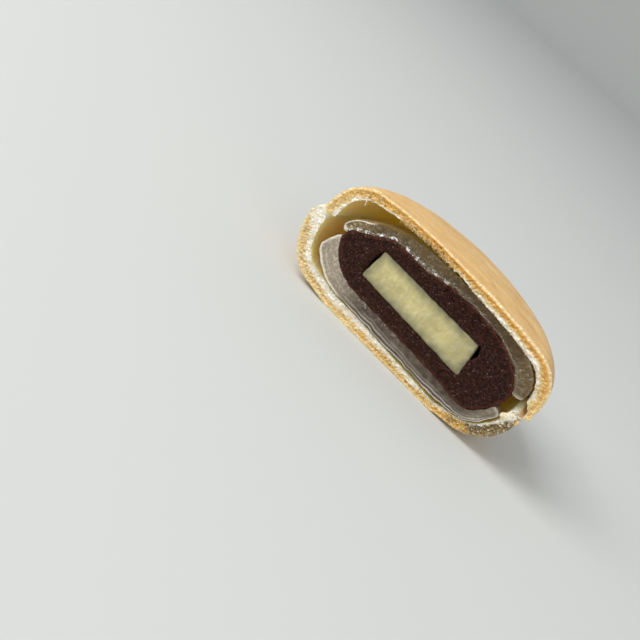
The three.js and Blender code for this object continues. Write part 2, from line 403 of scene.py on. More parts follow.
def turned_wall(right, left, steps, turns, layers):
    """Spins a wall's section through half a turn and rules the cut across, ready to be worked finely.

    Each vertex keeps where it is in the section: "along" goes from 0 at the axis to 1 at the lip, and
    "across" from 0 outside to 1 inside. The section eases from the right one to the left one. The
    faces of the cut are given the second material.
    """
    bm = bmesh.new()
    along = bm.verts.layers.float.new("along")
    across = bm.verts.layers.float.new("across")
    lines = []
    for side in (0, 1):
        made = []
        for i in range(steps + 1):
            vert = bm.verts.new(right.at(i / steps, side))
            vert[along] = i / steps
            vert[across] = side
            made.append(vert)
        lines.append(made)
    edges = [bm.edges.new(pair) for line in lines for pair in zip(line, line[1:])]
    lip = bm.edges.new((lines[0][-1], lines[1][-1]))
    spun = bmesh.ops.spin(
        bm, geom=[*lines[0], *lines[1], *edges, lip], cent=(0, 0, 0), axis=(0, 0, 1), angle=math.pi,
        steps=turns
    )
    last = [e for e in spun["geom_last"] if isinstance(e, bmesh.types.BMEdge)]
    for ends in (edges, [e for e in last if e.verts[0][across] == e.verts[1][across]]):
        bmesh.ops.bridge_loops(bm, edges=ends)
    bmesh.ops.remove_doubles(bm, verts=bm.verts, dist=TOUCH)
    ruled = [e for e in bm.edges if is_flush(e) and e.verts[0][across] != e.verts[1][across]]
    bmesh.ops.subdivide_edges(bm, edges=ruled, cuts=layers - 1, use_grid_fill=True)
    flush = [e for e in bm.edges if is_flush(e)]
    bmesh.ops.subdivide_edges(bm, edges=flush, cuts=FINER - 1, use_grid_fill=True)
    cut = [face for face in bm.faces if all(is_flush(e) for e in face.edges)]
    for vert in bm.verts:
        turn = math.atan2(abs(vert.co.y), vert.co.x)
        share, t = vert[along], vert[across]
        leftness = (1 - math.cos(turn)) / 2
        point = right.at(share, t).lerp(left.at(share, t), leftness)
        rise = right.rise * (1 - leftness) + left.rise * leftness
        point.z += rise * smooth(point.x * math.sin(turn) / 4) * smooth((share - 0.85) / 0.15)
        # The rings next to the cut are brought close behind it
        ring = round(turn / math.pi * turns)
        if ring in (1, turns - 1) and point.x * math.sin(turn) > FIRST_RING:
            turn = abs((0 if ring == 1 else math.pi) - math.asin(FIRST_RING / point.x))
        vert.co = (point.x * math.cos(turn), point.x * math.sin(turn), point.z)
    bmesh.ops.recalc_face_normals(bm, faces=bm.faces)
    for face in bm.faces:
        face.smooth = True
    for face in cut:
        face.material_index = 1
    for edge in {edge for face in cut for edge in face.edges}:
        edge.smooth = all(face.material_index == 1 for face in edge.link_faces)
    bm.normal_update()
    return bm


def finish_piece(name, bm, materials, nodes):
    """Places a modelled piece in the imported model's frame and has it stand for its nodes."""
    bmesh.ops.transform(bm, matrix=SWEET, verts=bm.verts)
    mesh = bpy.data.meshes.new(name)
    bm.to_mesh(mesh)
    bm.free()
    for material in materials:
        mesh.materials.append(material)
    piece = bpy.data.objects.new(name, mesh)
    bpy.context.scene.collection.objects.link(piece)
    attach(piece, "root")
    if nodes:
        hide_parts(*nodes)


# Materials -------------------------------------------------------------------------------------


def node(material, kind, feeds=None, **settings):
    """Adds a shader node; feeds gives its inputs values, or the nodes and sockets that they come from."""
    made = material.node_tree.nodes.new("ShaderNode" + kind)
    for key, value in settings.items():
        setattr(made, key, value)
    for name, value in (feeds or {}).items():
        socket = next(s for s in made.inputs if s.enabled and s.name == name)
        if isinstance(value, bpy.types.Node):
            value = next(s for s in value.outputs if s.enabled)
        if isinstance(value, bpy.types.NodeSocket):
            material.node_tree.links.new(value, socket)
        else:
            socket.default_value = value
    return made


def new_material(name):
    """An empty node material, and the output of its object coordinates."""
    material = bpy.data.materials.new(name)
    material.use_nodes = True
    material.node_tree.nodes.clear()
    return material, node(material, "TexCoord").outputs["Object"]


def per_mm(size):
    """Texture scale at which a pattern repeats about every so many millimetres."""
    return 1 / (size * MM)


def skin_material(s):
    """Toasted rice wafer from a polished mould: satin, very finely pitted, warm and unevenly tanned."""
    m, place = new_material("toasted_rice_wafer")
    drawn = node(m, "Mapping", {"Vector": place, "Scale": (0.35, 1.0, 1.0)})
    tan = node(m, "TexNoise", {"Vector": drawn, "Scale": per_mm(3.5), "Detail": 3.0, "Roughness": 0.6})
    tan = node(m, "MapRange", {"Value": tan, "From Min": 0.35, "From Max": 0.68})
    fleck = node(m, "TexNoise", {"Vector": drawn, "Scale": per_mm(0.8), "Detail": 3.0, "Roughness": 0.6})
    fleck = node(m, "MapRange", {"Value": fleck, "From Min": 0.5, "From Max": 0.72, "To Max": 0.65})
    inner = node(m, "Attribute", attribute_name="across")
    # White lip, faded away from the cut as painted shade
    lip = node(m, "Attribute", attribute_name="pale")
    tone = s.skin_dark
    for share, coat in ((tan, s.skin), (fleck, s.skin_pale), (inner, s.inside), (lip, s.crumb_pale)):
        tone = node(m, "Mix", {"Factor": share, "A": tone, "B": coat}, data_type="RGBA")
    glow = node(m, "MapRange", {"Value": inner, "To Min": 0.12, "To Max": 1.0})
    depth = node(m, "MapRange", {"Value": inner, "To Min": 1.0 * MM, "To Max": 5.0 * MM})
    # The real pits are finer than this grain, which is as coarse as it has to be to show
    grain = node(m, "TexNoise", {"Vector": place, "Scale": per_mm(0.7), "Detail": 2.0, "Roughness": 0.7})
    waves = node(m, "TexNoise", {"Vector": place, "Scale": per_mm(2.6), "Detail": 2.0})
    grain = node(m, "Bump", {"Height": grain, "Strength": 0.5, "Distance": 0.3 * MM})
    waves = node(m, "Bump", {"Height": waves, "Strength": 0.4, "Distance": 0.4 * MM, "Normal": grain})
    shader = node(m, "BsdfPrincipled", {
        "Base Color": tone, "Roughness": 0.36, "IOR": 1.45, "Subsurface Weight": glow,
        "Subsurface Radius": (1.0, 0.92, 0.6), "Subsurface Scale": depth, "Normal": waves
    })
    node(m, "OutputMaterial", {"Surface": shader})
    return m


def crumb_material(s):
    """Cut starch foam: glassy golden bubbles outside, and dense white fibres next to the filling."""
    m, place = new_material("cut_wafer_foam")
    grit = node(m, "TexNoise", {"Vector": place, "Scale": per_mm(0.75), "Detail": 3.0, "Roughness": 0.75})
    dark = node(m, "MapRange", {"Value": grit, "From Min": 0.46, "From Max": 0.34, "To Max": 0.35})
    # Painted highlights: the brightest specks of the grit are painted near white as glints
    painted_glint = node(m, "MapRange", {"Value": grit, "From Min": 0.54, "From Max": 0.64, "To Max": 0.75})
    toast_and_shade, pore_shade, pale, crust, edge = (
        node(m, "Attribute", attribute_name=name) for name in ("toast_and_shade", "pore_shade", "pale", "crust", "edge")
    )
    # Browning above about 1 adds painted shade, darkest at the bottom shell's right end
    painted_shade = node(m, "MapRange", {"Value": toast_and_shade, "From Min": 0.95, "From Max": 1.7})
    # Painted shade at the bottoms of the pores
    pore_shade = node(m, "MapRange", {"Value": pore_shade, "To Max": 0.28})
    # Fibres follow the wall, about 1.6 mm long and 0.5 mm apart
    section = node(m, "Attribute", attribute_name="section").outputs["Vector"]
    combed = node(m, "Mapping", {
        "Vector": section, "Rotation": (0, 0, 0.3), "Scale": (1 / 1.6, 1 / 0.5, 1.0)
    })
    fibre = node(m, "TexNoise", {"Vector": combed, "Scale": 1.0, "Detail": 3.0, "Distortion": 0.6})
    fibre = node(m, "MapRange", {"Value": fibre, "From Min": 0.5, "From Max": 0.36, "To Max": 0.35})
    white = node(m, "Mix", {"Factor": fibre, "A": s.crumb_pale, "B": s.crumb_toasted}, data_type="RGBA")
    tone = s.crumb
    # The edge coat is a painted highlight along the cut's outer edge
    for share, coat in (
        (toast_and_shade, s.crumb_toasted), (painted_shade, s.crumb_painted_shade), (dark, s.crumb_deep), (painted_glint, s.crumb_painted_glint),
        (pore_shade, s.crumb_deep), (pale, white), (crust, s.amber), (edge, s.skin_pale),
    ):
        tone = node(m, "Mix", {"Factor": share, "A": tone, "B": coat}, data_type="RGBA")
    cells = node(m, "TexVoronoi", {"Vector": place, "Scale": per_mm(0.75)}, feature="F1")
    fine = node(m, "Bump", {"Height": grit, "Strength": 1.0, "Distance": 0.3 * MM})
    walls = node(m, "Bump", {
        "Height": cells.outputs["Distance"], "Strength": 1.0, "Distance": 0.35 * MM, "Normal": fine
    })
    shader = node(m, "BsdfPrincipled", {
        "Base Color": tone, "Roughness": 0.2, "IOR": 1.5, "Specular IOR Level": 0.8,
        "Subsurface Weight": 0.25, "Subsurface Radius": (1.0, 0.75, 0.45), "Subsurface Scale": 1.0 * MM,
        "Normal": walls
    })
    node(m, "OutputMaterial", {"Surface": shader})
    return m


def mochi_material(s, name, body, cloudy, wetness):
    """Gyuhi mochi, steamed starch and sugar: cloudy and grainy, clearer over the paste, wet where cut."""
    m, place = new_material(name)
    cloud, back, seam, torn, wet = (
        node(m, "Attribute", attribute_name=name) for name in ("cloud", "back", "seam", "torn", "wet")
    )
    patch = node(m, "TexNoise", {"Vector": place, "Scale": per_mm(1.8), "Detail": 4.0, "Roughness": 0.65})
    patch = node(m, "MapRange", {"Value": patch, "From Min": 0.4, "From Max": 0.7, "To Max": 0.25})
    # Starch grains are far finer than this, and are drawn coarse enough to show
    grains = node(m, "TexNoise", {"Vector": place, "Scale": per_mm(0.8), "Detail": 3.0, "Roughness": 0.7})
    grains = node(m, "MapRange", {"Value": grains, "From Min": 0.52, "From Max": 0.78, "To Max": cloud})
    # Painted highlights: white glints where torn allows, along the wet edge by the paste
    painted_glint = node(m, "TexNoise", {"Vector": place, "Scale": per_mm(1.1), "Detail": 2.0, "Roughness": 0.7})
    painted_glint = node(m, "MapRange", {"Value": painted_glint, "From Min": 0.56, "From Max": 0.61, "To Max": torn})
    tone = body
    # back paints the outside of a sheet lighter: painted light
    for share, coat in (
        (cloud, cloudy), (patch, cloudy), (back, s.mochi_back_painted_light), (grains, s.mochi_line),
        (seam, s.mochi_line), (painted_glint, s.mochi_painted_glint),
    ):
        tone = node(m, "Mix", {"Factor": share, "A": tone, "B": coat}, data_type="RGBA")
    ripple = node(m, "MapRange", {"Value": wet, "To Min": wetness[0], "To Max": wetness[1]})
    coat = node(m, "MapRange", {"Value": wet, "To Min": 0.15, "To Max": wetness[1]})
    film = node(m, "TexNoise", {"Vector": place, "Scale": per_mm(1.0), "Detail": 2.0, "Roughness": 0.6})
    film = node(m, "Bump", {"Height": film, "Strength": ripple, "Distance": 1.4 * MM})
    shader = node(m, "BsdfPrincipled", {
        "Base Color": tone, "Roughness": 0.25, "IOR": 1.4, "Specular IOR Level": 0.4,
        "Subsurface Weight": 0.5, "Subsurface Radius": (1.0, 0.85, 0.7), "Subsurface Scale": 1.5 * MM,
        "Coat Weight": coat, "Coat Roughness": 0.08, "Coat IOR": 1.6, "Coat Normal": film, "Normal": film
    })
    node(m, "OutputMaterial", {"Surface": shader})
    return m


def paste_material(s):
    """Mashed sweet bean paste: dark, moist and grainy, with redder bits of skin and wet specks."""
    m, place = new_material("red_bean_paste")
    grain = node(m, "TexNoise", {"Vector": place, "Scale": per_mm(0.55), "Detail": 3.0, "Roughness": 0.75})
    skins = node(m, "MapRange", {"Value": grain, "From Min": 0.45, "From Max": 0.6})
    wet = node(m, "TexNoise", {"Vector": place, "Scale": per_mm(0.5), "Detail": 0.0})
    roughness, specular = (
        node(m, "MapRange", {
            "Value": wet, "From Min": 0.7, "From Max": 0.78, "To Min": moist, "To Max": dripping
        }) for moist, dripping in ((0.45, 0.1), (0.1, 0.6))
    )
    # Pale specks painted on as the moist paste's tiny glints, as coarse as they have to be to show
    fleck = node(m, "TexNoise", {"Vector": place, "Scale": per_mm(0.35), "Detail": 0.0})
    fleck = node(m, "MapRange", {"Value": fleck, "From Min": 0.75, "From Max": 0.82})
    rim = node(m, "MapRange", {"Value": node(m, "Attribute", attribute_name="rim"), "To Max": 0.5})
    tone = s.paste
    for share, coat in ((skins, s.paste_skin), (rim, s.paste_rim), (fleck, s.paste_painted_glint)):
        tone = node(m, "Mix", {"Factor": share, "A": tone, "B": coat}, data_type="RGBA")
    grain = node(m, "Bump", {"Height": grain, "Strength": 1.0, "Distance": 0.7 * MM})
    shader = node(m, "BsdfPrincipled", {
        "Base Color": tone, "Roughness": roughness, "IOR": 1.45, "Specular IOR Level": specular,
        "Subsurface Weight": 0.08, "Subsurface Radius": (1.0, 0.4, 0.3), "Subsurface Scale": 0.8 * MM,
        "Normal": grain
    })
    node(m, "OutputMaterial", {"Surface": shader})
    return m


def butter_material(s):
    """Cold butter, sliced: waxy and lightly translucent, greyer where it meets the paste."""
    m, place = new_material("cold_butter")
    drawn = node(m, "Mapping", {
        "Vector": place, "Rotation": (0, math.radians(20), 0), "Scale": (1, 1, 0.4)
    })
    streak = node(m, "TexNoise", {"Vector": drawn, "Scale": per_mm(0.8), "Detail": 4.0, "Roughness": 0.65})
    smear = node(m, "MapRange", {"Value": streak, "From Min": 0.48, "From Max": 0.68, "To Max": 0.5})
    cloud = node(m, "TexNoise", {"Vector": place, "Scale": per_mm(5), "Detail": 2.0})
    cloud = node(m, "MapRange", {"Value": cloud, "From Min": 0.45, "From Max": 0.7, "To Max": 0.3})
    rim = node(m, "Attribute", attribute_name="rim")
    tone = s.butter
    for share, coat in ((cloud, s.butter_edge), (smear, s.butter_smear), (rim, s.butter_edge)):
        tone = node(m, "Mix", {"Factor": share, "A": tone, "B": coat}, data_type="RGBA")
    dragged = node(m, "Bump", {"Height": streak, "Strength": 0.7, "Distance": 0.3 * MM})
    shader = node(m, "BsdfPrincipled", {
        "Base Color": tone, "Roughness": 0.36, "IOR": 1.46, "Subsurface Weight": 0.2,
        "Subsurface Radius": (1.0, 0.8, 0.4), "Subsurface Scale": 0.8 * MM, "Normal": dragged
    })
    node(m, "OutputMaterial", {"Surface": shader})
    return m


# Shells ----------------------------------------------------------------------------------------


def bottom_raggedness(point):
    """How ragged the inner edge of the bottom shell's cut is: a little everywhere."""
    return 0.25


def top_raggedness(point):
    """How ragged the inner edge of the top shell's cut is: fully so on the left of its crown."""
    return smooth((point.x + 19) / 3) * smooth(-point.x / 3)


def carve_foam(bm, ends, reach, seed, ragged):
    """Opens pores in a cut wall's golden side, combs fibres into its white side and chips its edges.

    The attributes are what crumb_material reads. t goes from 0 outside to 1 inside.
    """
    floats = bm.verts.layers.float
    along, across = floats["along"], floats["across"]
    pale, pore_shade, crust, edge, toast_and_shade = (
        floats.new(name) for name in ("pale", "pore_shade", "crust", "edge", "toast_and_shade")
    )
    section = bm.verts.layers.float_vector.new("section")
    for vert in cut_of(bm):
        point = vert.co.copy()
        share, t = vert[along], vert[across]
        end = ends[0] if point.x > 0 else ends[1]
        thick = between(end["wall"], share)
        amber = between(end["amber"], share)
        # The white side starts at an uneven line, and keeps a white edge where it isn't ragged
        start = 1 - between(end["pale"], share) + 0.25 * bumps(point, 3.0, seed)
        start += 0.2 * bumps(point, 0.9, seed)
        whiteness = 0.92 * smooth((t - start) / 0.3 + 0.5) * (1 + 0.4 * bumps(point, 1.3, seed + 11))
        whiteness = max(min(whiteness, 1.0), (1 - 0.8 * ragged(point)) * smooth((t - 0.92) / 0.06))
        # Big and small pores away from both edges, fibres, and how deep the cut goes here
        foamy = smooth((t - 0.1 - 0.22 * amber) / 0.14) * smooth((1 - t) / 0.05)
        pore = bubbles(point, 1.1, seed) * smooth(bumps(point, 2.4, seed + 4) * 0.8 + 0.75) * foamy
        fine = bubbles(point, 0.55, seed + 9) * foamy
        fibre = noise.noise(Vector((share * reach / 1.8, t * thick / 0.45, seed)))
        depth = (0.45 * pore + 0.25 * fine) * (1 - 0.7 * whiteness) + 0.25 * whiteness * (fibre + 0.4)
        depth += 0.15 * bumps(point, 4.0, seed + 2) + 0.1 * bumps(point, 1.1, seed + 6)
        depth += 0.4 * amber * (1 - smooth(t / 0.2))
        vert[pale] = whiteness
        # The pore bottoms are painted darker: painted shade
        vert[pore_shade] = min(pore, 1.0) * (1 - whiteness)
        # Browning of the foam, and above about 1 painted shade
        vert[toast_and_shade] = between(end["toast_and_shade"], share) * (0.9 + 0.5 * bumps(point, 2.5, seed + 8))
        crust_end = 0.45 + 0.14 * bumps(point, 1.8, seed + 5)
        vert[crust] = amber * smooth((t - 0.14) / 0.08) * (1 - smooth((t - crust_end) / 0.2))
        # Painted highlight: a pale line along the outer edge of the cut, where its chamfer catches light
        vert[edge] = min(0.05 + amber, 1.0) * (1 - smooth((t - 0.11) / 0.1))
        vert[section] = (share * reach, t * thick, 0)
        chip = 0.12 * bumps(point, 0.9, seed + 3) * (1 - smooth(t / 0.1))
        chip += (0.2 + ragged(point) * 0.9) * bumps(point, 0.7, seed + 7) * smooth((t - 0.8) / 0.2)
        vert.co += chip * Vector((point.x, 0, 2 * point.z)).normalized()
        vert.co.y += max(depth, -0.12) + 0.12
    # The lip is white, most of all on the left, and fades away from the cut as painted shade on the far
    # rim.
    # The wall makes way for the pores
    for vert in set(bm.verts) - cut_of(bm):
        vert[pale] = (0.9 if vert.co.x < 0 else 0.3) * smooth((vert[along] - 0.972) / 0.013)
        vert[pale] *= 1 - 0.7 * smooth(vert.co.y / 10)
        if vert.co.y < 2:
            vert.co.y += 0.6 * (1 - vert.co.y / 2) ** 2


def flakes_on(bm, flakes, seed):
    """Adds broken flakes of white crumb to a cut's splinters."""
    pale = bm.verts.layers.float["pale"]
    for (x, z), long, wide, lean in flakes:
        place = Matrix.Translation((x, 0.1, z)) @ Matrix.Rotation(math.radians(-lean), 4, "Y")
        made = bmesh.ops.create_icosphere(
            bm, subdivisions=4, radius=1, matrix=place @ Matrix.Diagonal((long, 0.4, wide, 1))
        )["verts"]
        for vert in made:
            point = vert.co.copy()
            vert[pale] = 0.85 - 0.8 * smooth(bumps(point, 1.0, seed) * 3)
            for axis in range(3):
                vert.co[axis] += 0.4 * bumps(point, 1.5, seed + axis) + 0.1 * bumps(point, 0.4, seed + axis)


def splinters_on(sections, patches, seed):
    """Crisp splinters along the torn edges of a cut wall, with the attributes that its foam has."""
    rng = random.Random(seed)
    bm = bmesh.new()
    pale, across, toast_and_shade, crust = (
        bm.verts.layers.float.new(name) for name in ("pale", "across", "toast_and_shade", "crust")
    )
    for side, shares, acrosses, count, size, paleness in patches:
        section = sections[0] if side > 0 else sections[1]
        for _ in range(count):
            share = rng.uniform(*shares)
            root = section.at(share, rng.uniform(*acrosses))
            inward = (section.at(share, 1) - section.at(share, 0)).normalized()
            way = inward + Vector((rng.gauss(0, 0.6), -rng.uniform(0, 0.6), rng.gauss(0, 0.6)))
            way.x *= side
            place = Matrix.Translation((side * root.x, rng.uniform(-0.1, 0.3), root.z))
            long = size * rng.uniform(0.4, 1.4)
            wide = rng.uniform(0.07, 0.14) * math.sqrt(size)
            made = bmesh.ops.create_cone(
                bm, cap_ends=True, segments=5, radius1=wide, radius2=wide * 0.3, depth=long,
                matrix=place @ way.to_track_quat("Z", "Y").to_matrix().to_4x4()
            )["verts"]
            tone = paleness * rng.uniform(0.4, 1.0)
            for vert in made:
                vert[pale] = tone
                vert[across] = 0.9
                vert[toast_and_shade] = 0.9 - 0.5 * tone
                vert[crust] = 0.7 - 0.7 * paleness
    return bm


def make_shell(name, source, sections, ends, seed, materials, ragged, patches, flakes=(), askew=Matrix()):
    """One wafer shell: spun wall, blunt rim, porous cut, torn edges and slightly uneven skin."""
    bm = turned_wall(*sections, steps=SHELL_STEPS, turns=108, layers=7)
    carve_foam(bm, ends, sections[0].reach, seed, ragged)
    for vert in set(bm.verts) - cut_of(bm):
        vert.co += vert.normal * (0.14 * bumps(vert.co, 11.0, seed) + 0.05 * bumps(vert.co, 3.0, seed + 1))
    splinters = splinters_on(sections, patches, seed)
    flakes_on(splinters, flakes, seed)
    for made in (bm, splinters):
        bmesh.ops.transform(made, matrix=askew, verts=made.verts)
    finish_piece(name, bm, materials, [source])
    finish_piece(name + "_splinters", splinters, materials[1:], [])


class MONAKA_OT_wafers(bpy.types.Operator):
    """Build the two wafer shells"""

    bl_idname = "monaka.wafers"
    bl_label = "Wafer shells"

    def execute(self, context):
        s = context.scene.monaka_wafer
        materials = [skin_material(s), crumb_material(s)]
        ends = (BOTTOM_RIGHT, BOTTOM_LEFT)
        sections = [
            shell_section(s.radius / MM, s.base_flat / MM, BOTTOM_SHOULDER, -s.depth / MM, end)
            for end in ends
        ]
        make_shell(
            "wafer_bottom_shell", "wafer_bottom", sections, ends, 3.0, materials, bottom_raggedness,
            BOTTOM_SPLINTERS, flakes=FLAKES
        )
        ends = (TOP_RIGHT, TOP_LEFT)
        sections = [
            shell_section(s.top_radius / MM, s.crown_flat / MM, TOP_SHOULDER, s.top_height / MM, end)
            for end in ends
        ]
        moved = Matrix.Translation((s.top_shift / MM, 0, s.top_lift / MM))
        make_shell(
            "wafer_top_shell", "wafer_top", sections, ends, 17.0, materials, top_raggedness,
            TOP_SPLINTERS, askew=moved @ Matrix.Rotation(s.top_tilt, 4, "Y")
        )
        return {"FINISHED"}


# Fillings --------------------------------------------------------------------------------------


def lower_cloud_and_glow(point):
    """How cloudy the lower sheet is: more and more towards its left tip, and a little at its right.
    Towards the left tip the paleness is partly painted light shining through the sheet.
    """
    return 0.9 * smooth((-point.x - 10) / 14) + 0.4 * smooth((point.x - 20) / 6)


def upper_cloud(point):
    """How cloudy the upper sheet is: floured at its left tip, hazy on the left and at its right tip."""
    return max(
        0.8 * smooth((-point.x - 19) / 6), 0.25 * smooth((8 - point.x) / 16),
        0.35 * smooth((point.x - 21) / 4)
    )


def fold_layers(bm, seams, strands, seed, cloud_at):
    """Steps the folded layers of a mochi sheet where it is cut, with a pale seam at each fold,
    partly a painted highlight on the fold's edge.

    The attributes are what mochi_material reads. strands is how far the wet threads stand out, and how
    strongly white glints are painted along the paste.
    """
    floats = bm.verts.layers.float
    along, across = floats["along"], floats["across"]
    seam, cloud, wet, torn = (floats.new(name) for name in ("seam", "cloud", "wet", "torn"))
    for vert in bm.verts:
        vert[cloud] = cloud_at(vert.co)
    for vert in cut_of(bm):
        point = vert.co.copy()
        t = vert[across]
        leftness = 0.5 - 0.5 * smooth(abs(point.x) / 26) * math.copysign(1, point.x)
        drift = 0.09 * bumps(point, 6.0, seed) + 0.03 * bumps(point, 1.2, seed)
        step, line = 0.0, 0.0
        for k, (right, left, strength) in enumerate(seams):
            off = t - max(right + (left - right) * leftness + drift, 0.04)
            ridge = math.exp(-(off / (0.03 + 0.02 * k)) ** 2)
            ridge *= min(strength * smooth(0.7 + bumps(point, 7.0, seed + 3 * k) * 1.2), 1.0)
            line = max(line, ridge)
            step += 0.22 * (k % 2 - 0.5) * smooth(off / 0.05 + 0.5)
        floured = smooth(2 * vert[cloud] - 0.6)
        line = max(line, 0.9 * floured * smooth((0.16 - t) / 0.1))
        vert[seam] = max(line, (0.3 + 0.5 * floured) * smooth((vert[along] - 0.965) / 0.025))
        vert[wet] = smooth((t - 0.5) / 0.2) * (1 - 0.6 * smooth((point.x - 4) / 10))
        # torn: where white glints are painted, along the wet edge next to the paste
        vert[torn] = min(strands * 2.5, 1.0) * smooth((t - 0.66) / 0.1) * smooth((4 - point.x) / 12)
        rough = bumps(point, 1.7, seed + 4) + 0.6 * bumps(point, 0.8, seed)
        vert.co += 0.3 * Vector((bumps(point, 2.2, seed + 1), 0, bumps(point, 2.2, seed + 2)))
        vert.co.y += step - 0.16 * line + 0.2 * bumps(point, 3.5, seed)
        vert.co.y += strands * rough * (0.3 + 0.7 * max(vert[wet], vert[cloud]))


def make_mochi(name, source, ends, seams, layers, strands, material, seed, cloud_at):
    """One sheet of mochi wrapped round the paste."""
    sections = [
        Section(*(smooth_line(line, MOCHI_STEPS * FINER) for line in end), blunt=0.6, overlap=0.3)
        for end in ends
    ]
    bm = turned_wall(*sections, steps=MOCHI_STEPS, turns=60, layers=layers)
    fold_layers(bm, seams, strands, seed, cloud_at)
    across = bm.verts.layers.float["across"]
    back = bm.verts.layers.float.new("back")
    for vert in set(bm.verts) - cut_of(bm):
        # The outside of a sheet is painted lighter away from the cut: painted light where it lies in shade
        vert[back] = (1 - vert[across]) * smooth(vert.co.y / 3)
        vert.co += vert.normal * (0.12 * bumps(vert.co, 4.0, seed) + 0.05 * bumps(vert.co, 1.5, seed))
    bmesh.ops.translate(bm, vec=(FILLING_AXIS, 0, 0), verts=bm.verts)
    for face in bm.faces:
        face.material_index = 0
    finish_piece(name, bm, [material], [source])


class MONAKA_OT_mochi(bpy.types.Operator):
    """Build the two mochi sheets"""

    bl_idname = "monaka.mochi"
    bl_label = "Mochi sheets"

    def execute(self, context):
        s = context.scene.monaka_filling
        lower = mochi_material(s, "folded_mochi", s.mochi, s.mochi_cloudy_and_glow, (0.3, 0.3))
        make_mochi(
            "mochi_lower_sheet", "mochi_lower", (LOWER_RIGHT, LOWER_LEFT), LOWER_SEAMS, layers=11,
            strands=0.1, material=lower, seed=5.0, cloud_at=lower_cloud_and_glow
        )
        upper = mochi_material(s, "wet_mochi", s.mochi_clear, s.mochi_honey, (0.3, 1.0))
        make_mochi(
            "mochi_upper_sheet", "mochi_upper", (UPPER_RIGHT, UPPER_LEFT), UPPER_SEAMS, layers=9,
            strands=0.4, material=upper, seed=8.0, cloud_at=upper_cloud
        )
        return {"FINISHED"}


def voxelled(bm, size, hollow=None):
    """The closed shape of a bmesh, less another, made again from even quads of that size."""
    objects = []
    for source in (bm, hollow):
        if source is None:
            continue
        mesh = bpy.data.meshes.new("rough")
        source.to_mesh(mesh)
        source.free()
        objects.append(bpy.data.objects.new("rough", mesh))
        bpy.context.scene.collection.objects.link(objects[-1])
    body = objects[0]
    if hollow is not None:
        cutter = body.modifiers.new("pocket", "BOOLEAN")
        cutter.operation = "DIFFERENCE"
        cutter.solver = "EXACT"
        cutter.object = objects[1]
    even = body.modifiers.new("even", "REMESH")
    even.mode = "VOXEL"
    even.voxel_size = size
    graph = bpy.context.evaluated_depsgraph_get()
    made = bmesh.new()
    made.from_mesh(body.evaluated_get(graph).to_mesh())
    for each in objects:
        mesh = each.data
        bpy.data.objects.remove(each)
        bpy.data.meshes.remove(mesh)
    for face in made.faces:
        face.smooth = True
    return made


def turned_disc(right, left, count, turns):
    """Half of a closed round body: an outline from pole to pole, spun behind the cut."""
    sides = [smooth_line(points, count) for points in (right, left)]
    bm = bmesh.new()
    step = bm.verts.layers.int.new("step")
    line = []
    for i, point in enumerate(sides[0]):
        vert = bm.verts.new(point)
        vert[step] = i
        line.append(vert)
    edges = [bm.edges.new(pair) for pair in zip(line, line[1:])]
    bmesh.ops.spin(bm, geom=[*line, *edges], cent=(0, 0, 0), axis=(0, 0, 1), angle=math.pi, steps=turns)
    bmesh.ops.remove_doubles(bm, verts=bm.verts, dist=TOUCH)
    for vert in bm.verts:
        turn = math.atan2(abs(vert.co.y), vert.co.x)
        point = sides[0][vert[step]].lerp(sides[1][vert[step]], (1 - math.cos(turn)) / 2)
        vert.co = (point.x * math.cos(turn), point.x * math.sin(turn), point.z)
    bmesh.ops.contextual_create(bm, geom=[e for e in bm.edges if e.is_boundary])
    bmesh.ops.recalc_face_normals(bm, faces=bm.faces)
    return bm


def butter_block(s, front, grow=0.0, left=(0, 0), right=(0, 0)):
    """A block where the butter lies: grown all round, and at each end by so much at even steps upward."""
    width, thickness = s.butter_width / MM, s.butter_thickness / MM
    low = Vector((-width / 2, -front, -thickness / 2 - grow))
    high = Vector((width / 2, width / 2 + grow, thickness / 2 + grow))
    bm = bmesh.new()
    bmesh.ops.create_cube(bm, size=1)
    upright = [e for e in bm.edges if abs(e.verts[0].co.z - e.verts[1].co.z) > 0.5]
    bmesh.ops.subdivide_edges(bm, edges=upright, cuts=11, use_grid_fill=True)
    for vert in bm.verts:
        rightmost, share = vert.co.x > 0, vert.co.z + 0.5
        lower, upper = BUTTER_CORNERS[rightmost]
        lean, lift = (a + (b - a) * share for a, b in zip(lower, upper))
        lean += between(right, share) if rightmost else -between(left, share)
        for axis in range(3):
            vert.co[axis] = low[axis] + (high[axis] - low[axis]) * (vert.co[axis] + 0.5)
        vert.co.x += lean
        vert.co.z += lift
    place = Matrix.Translation(BUTTER_CENTRE) @ Matrix.Rotation(s.butter_tilt, 4, "Y")
    bmesh.ops.transform(bm, matrix=place, verts=bm.verts)
    return bm


